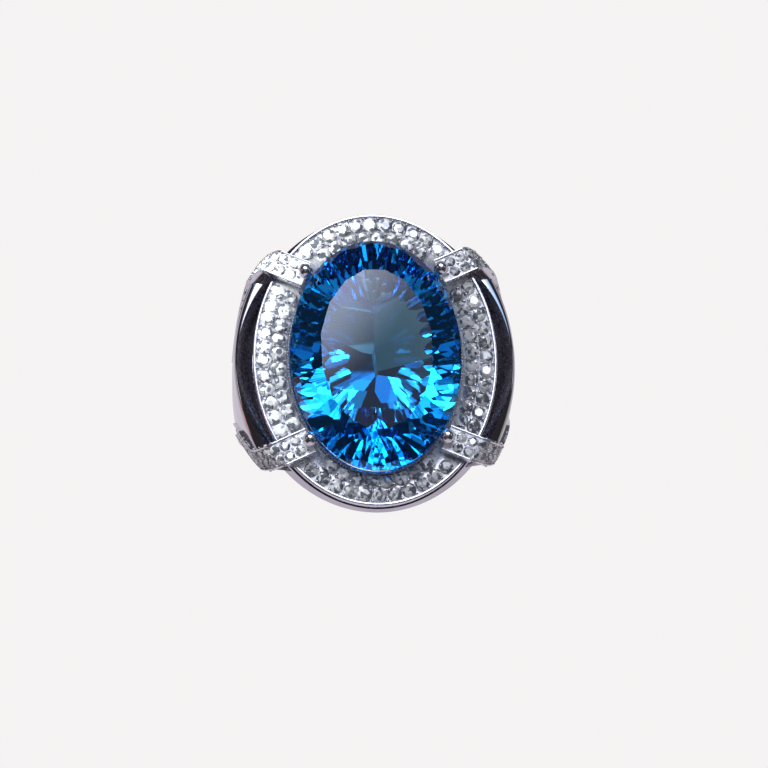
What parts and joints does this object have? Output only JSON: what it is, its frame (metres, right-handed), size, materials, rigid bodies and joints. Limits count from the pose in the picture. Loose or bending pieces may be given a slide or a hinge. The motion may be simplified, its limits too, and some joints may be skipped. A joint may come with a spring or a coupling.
{
  "type": "cocktail ring",
  "caption": "Cocktail ring with a large oval blue stone in four ball prongs, a two-row pave halo, four pave straps and polished tapered shoulders.",
  "frame": {"origin": "centre of the finger bore, half way along it", "axes": "+Y along the finger, +Z from the finger's centre to the stone, +X to the wearer's right across the shank"},
  "size_m": [0.0216, 0.0238, 0.0276],
  "materials": {
    "polished_silver": "high polish, rhodium plated silver",
    "pave_silver": "bright-cut pave with raised beads",
    "bright_edge": "mirror polished wire and balls",
    "blue_topaz": "faceted, clear, vivid blue",
    "white_stone": "faceted, clear, colourless"
  },
  "bodies": {
    "root": {"shank": "polished_silver", "shoulder_right": "polished_silver", "shoulder_left": "polished_silver", "base_rail": "polished_silver", "gallery": "polished_silver", "basket": "polished_silver", "halo_plate": "pave_silver", "halo_rim": "bright_edge", "milgrain_ring": "bright_edge", "strap_front_right": "pave_silver", "strap_front_left": "pave_silver", "strap_back_right": "pave_silver", "strap_back_left": "pave_silver", "border_front_right": "pave_silver", "border_front_left": "pave_silver", "border_back_right": "pave_silver", "border_back_left": "pave_silver", "prong_front_right": "bright_edge", "prong_front_left": "bright_edge", "prong_back_right": "bright_edge", "prong_back_left": "bright_edge", "centre_stone": "blue_topaz", "halo_stones_front": "white_stone", "halo_stones_right": "white_stone", "halo_stones_back": "white_stone", "halo_stones_left": "white_stone", "strap_stones_front_right": "white_stone", "strap_stones_front_left": "white_stone", "strap_stones_back_right": "white_stone", "strap_stones_back_left": "white_stone", "border_stones_front_right": "white_stone", "border_stones_front_left": "white_stone", "border_stones_back_right": "white_stone", "border_stones_back_left": "white_stone"}
  },
  "joints": []
}
